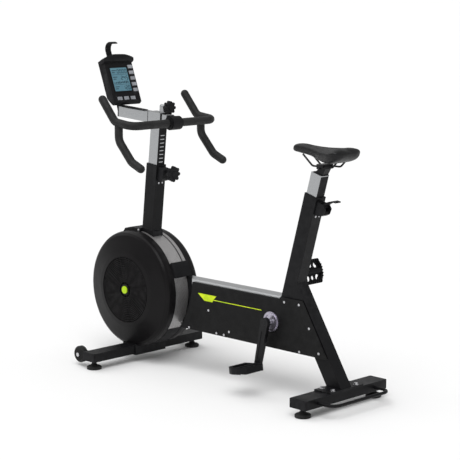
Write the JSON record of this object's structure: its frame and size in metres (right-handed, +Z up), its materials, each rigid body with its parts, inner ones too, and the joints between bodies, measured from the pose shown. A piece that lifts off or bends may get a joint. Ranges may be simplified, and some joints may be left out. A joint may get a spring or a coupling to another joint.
{
  "type": "air-resistance exercise bike",
  "caption": "Upright exercise bike with a fan drum at the front, box-section beam, sliding seat post, road-style handlebar and tilting console.",
  "frame": {"origin": "on the floor, under the middle of the bike's length and width", "axes": "+Z up; the bike faces -X, towards the fan drum; +Y is the rider's right-hand side"},
  "size_m": [1.3855, 0.584, 1.2596],
  "materials": {
    "frame_paint": "satin black powder coat",
    "drum_plastic": "semi-gloss black moulding",
    "cover_plastic": "fine-grained black moulding",
    "black_plastic": "black moulding",
    "rubber": "black rubber",
    "beam_aluminium": "brushed, clear anodised",
    "black_aluminium": "satin black coat on a light tube",
    "mesh_steel": "perforated band",
    "bright_steel": "zinc plated",
    "fan_steel": "grey paint",
    "crank_paint": "satin black",
    "accent_plastic": "yellow-green moulding",
    "screen": "liquid-crystal window",
    "button_plastic": "light grey keys",
    "saddle_skin": "smooth black synthetic cover over foam",
    "grip_foam": "black grip tape"
  },
  "bodies": {
    "floor_frame": {"front_stabilizer": "frame_paint", "stabilizer_caps": "black_plastic", "rear_stabilizer": "frame_paint", "rear_support": "frame_paint", "seat_mast": "frame_paint", "main_beam": "beam_aluminium", "front_upright": "frame_paint", "drum_bulkhead": "frame_paint", "drum_blocks": "black_plastic", "drum_shell_left": "drum_plastic", "drum_shell_right": "drum_plastic", "drum_cap": "accent_plastic", "drum_mesh": "mesh_steel", "left_side_cover": "cover_plastic", "right_side_cover": "cover_plastic", "frame_screws": "bright_steel", "drive_brackets": "frame_paint", "crank_bearings": "bright_steel", "post_glides": "black_plastic", "lock_housings": "black_plastic", "drive_belts": "rubber"},
    "crank_set": {"crank_spindle": "bright_steel", "crank_arm_left": "crank_paint", "crank_arm_right": "crank_paint"},
    "left_pedal": {"pedal_left": "black_plastic"},
    "right_pedal": {"pedal_right": "black_plastic"},
    "idler": {"idler_pulley": "black_plastic"},
    "fan": {"fan_wheel": "fan_steel"},
    "left_wheel": {"transport_wheel_left": "rubber"},
    "right_wheel": {"transport_wheel_right": "rubber"},
    "front_left_foot": {"foot_front_left": "rubber"},
    "front_right_foot": {"foot_front_right": "rubber"},
    "rear_left_foot": {"foot_rear_left": "rubber"},
    "rear_right_foot": {"foot_rear_right": "rubber"},
    "seat_column": {"seat_post": "beam_aluminium", "seat_clamp": "crank_paint"},
    "saddle": {"saddle_rails": "bright_steel", "saddle_pad": "saddle_skin"},
    "seat_lock_lever": {"seat_lever": "black_plastic"},
    "handlebar_column": {"handlebar_post": "beam_aluminium", "arm_sleeve": "beam_aluminium", "arm_bushings": "black_plastic"},
    "arm_lock_knob": {"upper_knob": "black_plastic"},
    "post_lock_knob": {"lower_knob": "black_plastic"},
    "handlebar_arm": {"console_arm": "beam_aluminium", "console_bracket": "black_plastic", "handlebar_clamp": "crank_paint", "handlebar_frame": "black_aluminium", "handlebar_grips": "grip_foam"},
    "console": {"console_housing": "black_plastic", "console_screen": "screen"},
    "hook": {"device_hook": "black_plastic"},
    "side_key_1": {"side_button_1": "button_plastic"},
    "side_key_2": {"side_button_2": "button_plastic"},
    "side_key_3": {"side_button_3": "button_plastic"},
    "side_key_4": {"side_button_4": "button_plastic"},
    "side_key_5": {"side_button_5": "button_plastic"},
    "row_key_1": {"row_button_1": "button_plastic"},
    "row_key_2": {"row_button_2": "button_plastic"},
    "row_key_3": {"row_button_3": "button_plastic"}
  },
  "joints": [
    {"name": "crank_spin", "type": "hinge", "parent": "floor_frame", "child": "crank_set", "pos_m": [0.2785, 0, 0.269], "axis": [0, -1, 0], "continuous": true},
    {"name": "left_pedal_spin", "type": "hinge", "parent": "crank_set", "child": "left_pedal", "pos_m": [0.24142, 0, 0.10309], "axis": [0, -1, 0], "continuous": true},
    {"name": "right_pedal_spin", "type": "hinge", "parent": "crank_set", "child": "right_pedal", "pos_m": [0.31558, 0, 0.43491], "axis": [0, -1, 0], "continuous": true},
    {"name": "idler_spin", "type": "hinge", "parent": "floor_frame", "child": "idler", "pos_m": [0.0185, 0, 0.25], "axis": [0, -1, 0], "continuous": true},
    {"name": "fan_spin", "type": "hinge", "parent": "floor_frame", "child": "fan", "pos_m": [-0.4615, 0, 0.2915], "axis": [0, -1, 0], "continuous": true},
    {"name": "left_wheel_spin", "type": "hinge", "parent": "floor_frame", "child": "left_wheel", "pos_m": [-0.5415, -0.262, 0.046], "axis": [0, -1, 0], "continuous": true},
    {"name": "right_wheel_spin", "type": "hinge", "parent": "floor_frame", "child": "right_wheel", "pos_m": [-0.5415, 0.262, 0.046], "axis": [0, -1, 0], "continuous": true},
    {"name": "front_left_foot_screw", "type": "slide", "parent": "floor_frame", "child": "front_left_foot", "axis": [0, 0, -1], "range_m": [0, 0.012]},
    {"name": "front_right_foot_screw", "type": "slide", "parent": "floor_frame", "child": "front_right_foot", "axis": [0, 0, -1], "range_m": [0, 0.012]},
    {"name": "rear_left_foot_screw", "type": "slide", "parent": "floor_frame", "child": "rear_left_foot", "axis": [0, 0, -1], "range_m": [0, 0.012]},
    {"name": "rear_right_foot_screw", "type": "slide", "parent": "floor_frame", "child": "rear_right_foot", "axis": [0, 0, -1], "range_m": [0, 0.012]},
    {"name": "seat_height", "type": "slide", "parent": "floor_frame", "child": "seat_column", "axis": [0.2756, 0, 0.9613], "range_m": [-0.045, 0.2]},
    {"name": "saddle_reach", "type": "slide", "parent": "seat_column", "child": "saddle", "axis": [1, 0, 0], "range_m": [-0.015, 0.015]},
    {"name": "seat_lock", "type": "hinge", "parent": "floor_frame", "child": "seat_lock_lever", "pos_m": [0.50092, 0, 0.71152], "axis": [0, -1, 0], "range_deg": [0, 20]},
    {"name": "handlebar_height", "type": "slide", "parent": "floor_frame", "child": "handlebar_column", "axis": [0.1132, 0, 0.9936], "range_m": [-0.06, 0.1]},
    {"name": "post_lock", "type": "hinge", "parent": "floor_frame", "child": "post_lock_knob", "pos_m": [-0.35174, 0, 0.76727], "axis": [0.9936, 0, -0.1132], "range_deg": [0, 180]},
    {"name": "arm_lock", "type": "hinge", "parent": "handlebar_column", "child": "arm_lock_knob", "pos_m": [-0.32601, 0, 1.01718], "axis": [0.9976, 0, -0.0698], "range_deg": [0, 180]},
    {"name": "handlebar_reach", "type": "slide", "parent": "handlebar_column", "child": "handlebar_arm", "axis": [-0.9976, 0, 0.0698], "range_m": [-0.036, 0.026]},
    {"name": "console_tilt", "type": "hinge", "parent": "handlebar_arm", "child": "console", "pos_m": [-0.59838, 0, 1.04812], "axis": [0, 1, 0], "range_deg": [-20, 5]},
    {"name": "hook_lift", "type": "slide", "parent": "console", "child": "hook", "axis": [-0.3535, 0, 0.9354], "range_m": [0, 0.04]},
    {"name": "side_key_1_press", "type": "slide", "parent": "console", "child": "side_key_1", "axis": [-0.9354, 0, -0.3535], "range_m": [0, 0.002], "stiffness_N_per_m": 300, "springref_m": -0.001},
    {"name": "side_key_2_press", "type": "slide", "parent": "console", "child": "side_key_2", "axis": [-0.9354, 0, -0.3535], "range_m": [0, 0.002], "stiffness_N_per_m": 300, "springref_m": -0.001},
    {"name": "side_key_3_press", "type": "slide", "parent": "console", "child": "side_key_3", "axis": [-0.9354, 0, -0.3535], "range_m": [0, 0.002], "stiffness_N_per_m": 300, "springref_m": -0.001},
    {"name": "side_key_4_press", "type": "slide", "parent": "console", "child": "side_key_4", "axis": [-0.9354, 0, -0.3535], "range_m": [0, 0.002], "stiffness_N_per_m": 300, "springref_m": -0.001},
    {"name": "side_key_5_press", "type": "slide", "parent": "console", "child": "side_key_5", "axis": [-0.9354, 0, -0.3535], "range_m": [0, 0.002], "stiffness_N_per_m": 300, "springref_m": -0.001},
    {"name": "row_key_1_press", "type": "slide", "parent": "console", "child": "row_key_1", "axis": [-0.9354, 0, -0.3535], "range_m": [0, 0.002], "stiffness_N_per_m": 300, "springref_m": -0.001},
    {"name": "row_key_2_press", "type": "slide", "parent": "console", "child": "row_key_2", "axis": [-0.9354, 0, -0.3535], "range_m": [0, 0.002], "stiffness_N_per_m": 300, "springref_m": -0.001},
    {"name": "row_key_3_press", "type": "slide", "parent": "console", "child": "row_key_3", "axis": [-0.9354, 0, -0.3535], "range_m": [0, 0.002], "stiffness_N_per_m": 300, "springref_m": -0.001}
  ],
  "couplings": [
    {"joint": "idler_spin", "follows": "crank_spin", "ratio": 2.8333},
    {"joint": "fan_spin", "follows": "crank_spin", "ratio": 6.6111}
  ]
}
